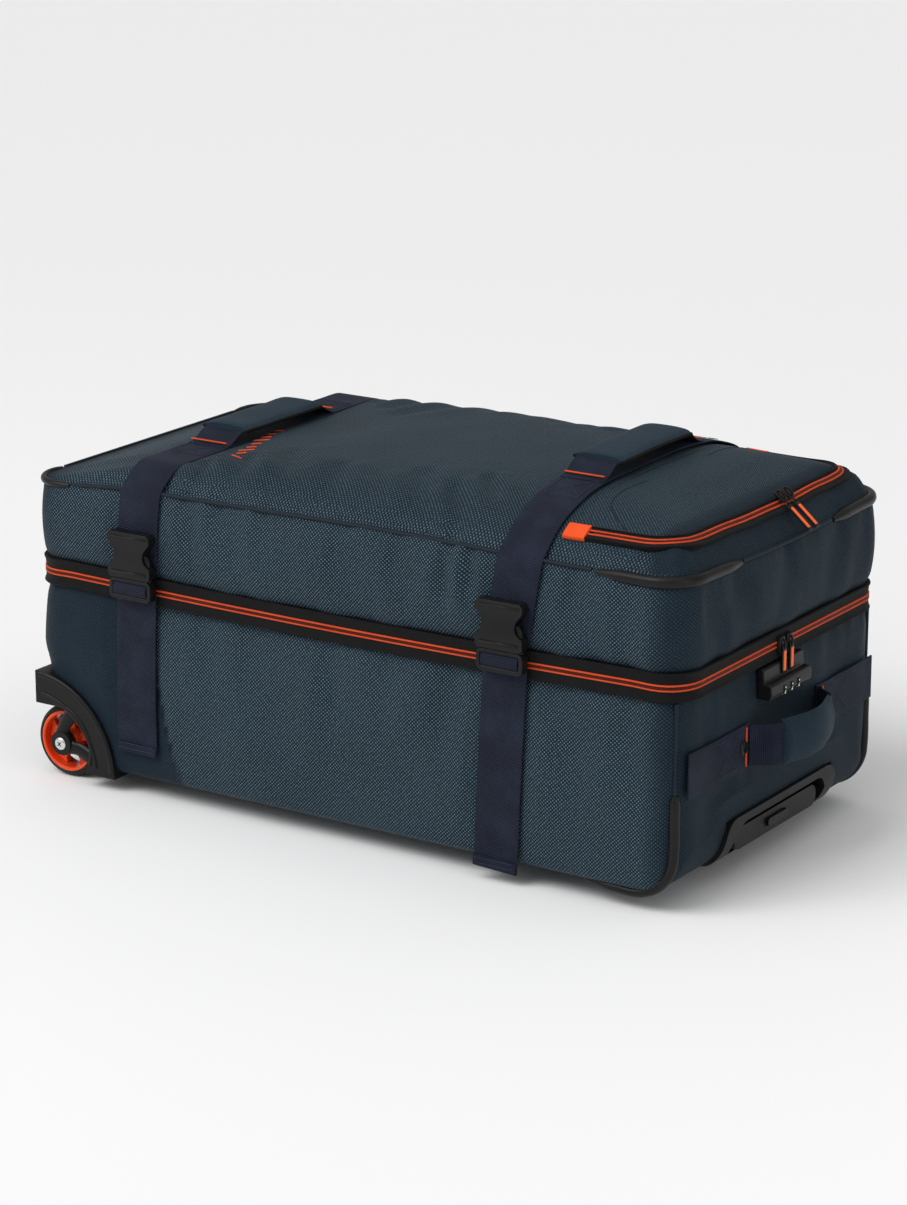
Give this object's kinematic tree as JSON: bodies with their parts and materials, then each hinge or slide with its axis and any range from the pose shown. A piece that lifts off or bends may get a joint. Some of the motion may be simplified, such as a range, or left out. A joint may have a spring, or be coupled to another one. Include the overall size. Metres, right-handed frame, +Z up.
{
  "type": "rolling duffel bag",
  "caption": "Long soft-sided rolling duffel lying on its back, with a zipped hinged lid, top pocket, strap buckles, in-line wheels and a telescoping handle.",
  "frame": {"origin": "on the floor, under the middle of the whole object's box", "axes": "+Z up with the bag lying on its back, +X towards the trolley handle, wheels at -X, -Y the long front side"},
  "size_m": [0.823, 0.4418, 0.4042],
  "materials": {
    "weave": "two-tone ballistic weave, petrol blue with pale flecks",
    "lining": "plain woven lining",
    "webbing": "navy ribbed webbing",
    "zip_tape": "black zip tape with orange coil lines",
    "zip_metal": "black enamel",
    "orange_trim": "soft orange moulding and tape",
    "black_plastic": "fine-grained moulded plastic",
    "rubber_trim": "satin rubber",
    "tyre": "matt polyurethane",
    "orange_hub": "glossy orange moulding",
    "steel": "bright zinc",
    "tube_metal": "anodised dark grey"
  },
  "bodies": {
    "root": {"base_shell": "weave", "bottom_board": "black_plastic", "trolley_cover": "lining", "handle_bezel": "black_plastic", "trolley_outer_tubes": "tube_metal", "trolley_bracket": "black_plastic", "wheel_housing_front": "black_plastic", "wheel_housing_rear": "black_plastic", "fork_arms": "black_plastic", "wheel_axles": "steel", "skid_rails": "black_plastic", "main_zip_lower": "zip_tape", "base_edge_trim": "rubber_trim", "lower_straps": "webbing", "end_handle_webbing": "webbing", "end_handle_studs": "black_plastic", "lock_housing": "black_plastic", "lid_hinge_gusset": "lining"},
    "lid": {"lid_shell": "weave", "lid_divider": "lining", "lid_piping": "rubber_trim", "lid_bumpers": "rubber_trim", "main_zip_upper": "zip_tape", "pocket_zip_outer": "zip_tape", "pocket_zip_tabs": "orange_trim", "upper_strap_wheel_end": "webbing", "upper_strap_grip_end": "webbing", "buckle_sockets": "black_plastic"},
    "flap": {"flap_panel": "weave", "pocket_zip_inner": "zip_tape"},
    "wheel_front": {"tyre_front": "tyre", "hub_front": "orange_hub", "bearings_front": "steel"},
    "wheel_rear": {"tyre_rear": "tyre", "hub_rear": "orange_hub", "bearings_rear": "steel"},
    "trolley_mid": {"trolley_mid_tubes": "tube_metal"},
    "trolley_inner": {"trolley_inner_tubes": "tube_metal", "trolley_grip": "black_plastic"},
    "grip_release": {"grip_button": "black_plastic"},
    "end_handle": {"end_handle_loop": "weave"},
    "release_button": {"lock_release": "black_plastic"},
    "dial_1": {"lock_dial_1": "black_plastic"},
    "dial_2": {"lock_dial_2": "black_plastic"},
    "dial_3": {"lock_dial_3": "black_plastic"},
    "main_slider_a": {"main_slider_a": "zip_metal"},
    "main_pull_a": {"main_pull_a": "orange_trim"},
    "pocket_slider_a": {"pocket_slider_a": "zip_metal"},
    "pocket_pull_a": {"pocket_pull_a": "orange_trim"},
    "main_slider_b": {"main_slider_b": "zip_metal"},
    "main_pull_b": {"main_pull_b": "orange_trim"},
    "pocket_slider_b": {"pocket_slider_b": "zip_metal"},
    "pocket_pull_b": {"pocket_pull_b": "orange_trim"},
    "carry_wheel_end": {"carry_sleeve_wheel_end": "weave"},
    "plug_front_wheel_end": {"buckle_plug_front_wheel_end": "black_plastic"},
    "plug_rear_wheel_end": {"buckle_plug_rear_wheel_end": "black_plastic"},
    "carry_grip_end": {"carry_sleeve_grip_end": "weave"},
    "plug_front_grip_end": {"buckle_plug_front_grip_end": "black_plastic"},
    "plug_rear_grip_end": {"buckle_plug_rear_grip_end": "black_plastic"}
  },
  "joints": [
    {"name": "wheel_front_spin", "type": "hinge", "parent": "root", "child": "wheel_front", "pos_m": [-0.3725, -0.178, 0.039], "axis": [0, 1, 0], "continuous": true},
    {"name": "wheel_rear_spin", "type": "hinge", "parent": "root", "child": "wheel_rear", "pos_m": [-0.3725, 0.178, 0.039], "axis": [0, 1, 0], "continuous": true},
    {"name": "lid_hinge", "type": "hinge", "parent": "root", "child": "lid", "pos_m": [-0.403, 0, 0.227], "axis": [0, -1, 0], "range_deg": [0, 110]},
    {"name": "flap_hinge", "type": "hinge", "parent": "lid", "child": "flap", "pos_m": [0.2315, 0, 0.383], "axis": [0, -1, 0], "range_deg": [0, 110]},
    {"name": "trolley_mid_slide", "type": "slide", "parent": "root", "child": "trolley_mid", "axis": [1, 0, 0], "range_m": [0, 0.21]},
    {"name": "trolley_inner_slide", "type": "slide", "parent": "trolley_mid", "child": "trolley_inner", "axis": [1, 0, 0], "range_m": [0, 0.21]},
    {"name": "grip_button_press", "type": "slide", "parent": "trolley_inner", "child": "grip_release", "axis": [-1, 0, 0], "range_m": [0, 0.003], "stiffness_N_per_m": 400, "springref_m": -0.003},
    {"name": "end_handle_swing", "type": "hinge", "parent": "root", "child": "end_handle", "pos_m": [0.3736, 0, 0.14], "axis": [0, -1, 0], "range_deg": [-40, 15]},
    {"name": "main_slider_a_run", "type": "slide", "parent": "root", "child": "main_slider_a", "axis": [0, -1, 0], "range_m": [0, 0.1]},
    {"name": "main_pull_a_swing", "type": "hinge", "parent": "main_slider_a", "child": "main_pull_a", "pos_m": [0.37935, -0.0145, 0.227], "axis": [0, -1, 0], "range_deg": [0, 150]},
    {"name": "pocket_slider_a_run", "type": "slide", "parent": "lid", "child": "pocket_slider_a", "axis": [0, -1, 0], "range_m": [0, 0.12]},
    {"name": "pocket_pull_a_swing", "type": "hinge", "parent": "pocket_slider_a", "child": "pocket_pull_a", "pos_m": [0.3555, 0.0245, 0.3585], "axis": [0, -1, 0], "range_deg": [0, 120]},
    {"name": "main_slider_b_run", "type": "slide", "parent": "root", "child": "main_slider_b", "axis": [0, 1, 0], "range_m": [0, 0.11]},
    {"name": "main_pull_b_swing", "type": "hinge", "parent": "main_slider_b", "child": "main_pull_b", "pos_m": [0.37935, 0.0005, 0.227], "axis": [0, -1, 0], "range_deg": [0, 150]},
    {"name": "pocket_slider_b_run", "type": "slide", "parent": "lid", "child": "pocket_slider_b", "axis": [0, 1, 0], "range_m": [0, 0.08]},
    {"name": "pocket_pull_b_swing", "type": "hinge", "parent": "pocket_slider_b", "child": "pocket_pull_b", "pos_m": [0.3555, 0.0395, 0.3585], "axis": [0, -1, 0], "range_deg": [0, 120]},
    {"name": "carry_wheel_end_lift", "type": "slide", "parent": "lid", "child": "carry_wheel_end", "axis": [0, 0, 1], "range_m": [0, 0.03]},
    {"name": "plug_front_wheel_end_pull", "type": "slide", "parent": "root", "child": "plug_front_wheel_end", "axis": [0, 0, -1], "range_m": [0, 0.04]},
    {"name": "plug_rear_wheel_end_pull", "type": "slide", "parent": "root", "child": "plug_rear_wheel_end", "axis": [0, 0, -1], "range_m": [0, 0.04]},
    {"name": "carry_grip_end_lift", "type": "slide", "parent": "lid", "child": "carry_grip_end", "axis": [0, 0, 1], "range_m": [0, 0.03]},
    {"name": "plug_front_grip_end_pull", "type": "slide", "parent": "root", "child": "plug_front_grip_end", "axis": [0, 0, -1], "range_m": [0, 0.04]},
    {"name": "plug_rear_grip_end_pull", "type": "slide", "parent": "root", "child": "plug_rear_grip_end", "axis": [0, 0, -1], "range_m": [0, 0.04]},
    {"name": "lock_dial_1_turn", "type": "hinge", "parent": "root", "child": "dial_1", "pos_m": [0.3826, -0.026, 0.1865], "axis": [0, 1, 0], "continuous": true},
    {"name": "lock_dial_2_turn", "type": "hinge", "parent": "root", "child": "dial_2", "pos_m": [0.3826, -0.012, 0.1865], "axis": [0, 1, 0], "continuous": true},
    {"name": "lock_dial_3_turn", "type": "hinge", "parent": "root", "child": "dial_3", "pos_m": [0.3826, 0.002, 0.1865], "axis": [0, 1, 0], "continuous": true},
    {"name": "lock_release_press", "type": "slide", "parent": "root", "child": "release_button", "axis": [0, -1, 0], "range_m": [0, 0.0025], "stiffness_N_per_m": 300, "springref_m": -0.002}
  ]
}
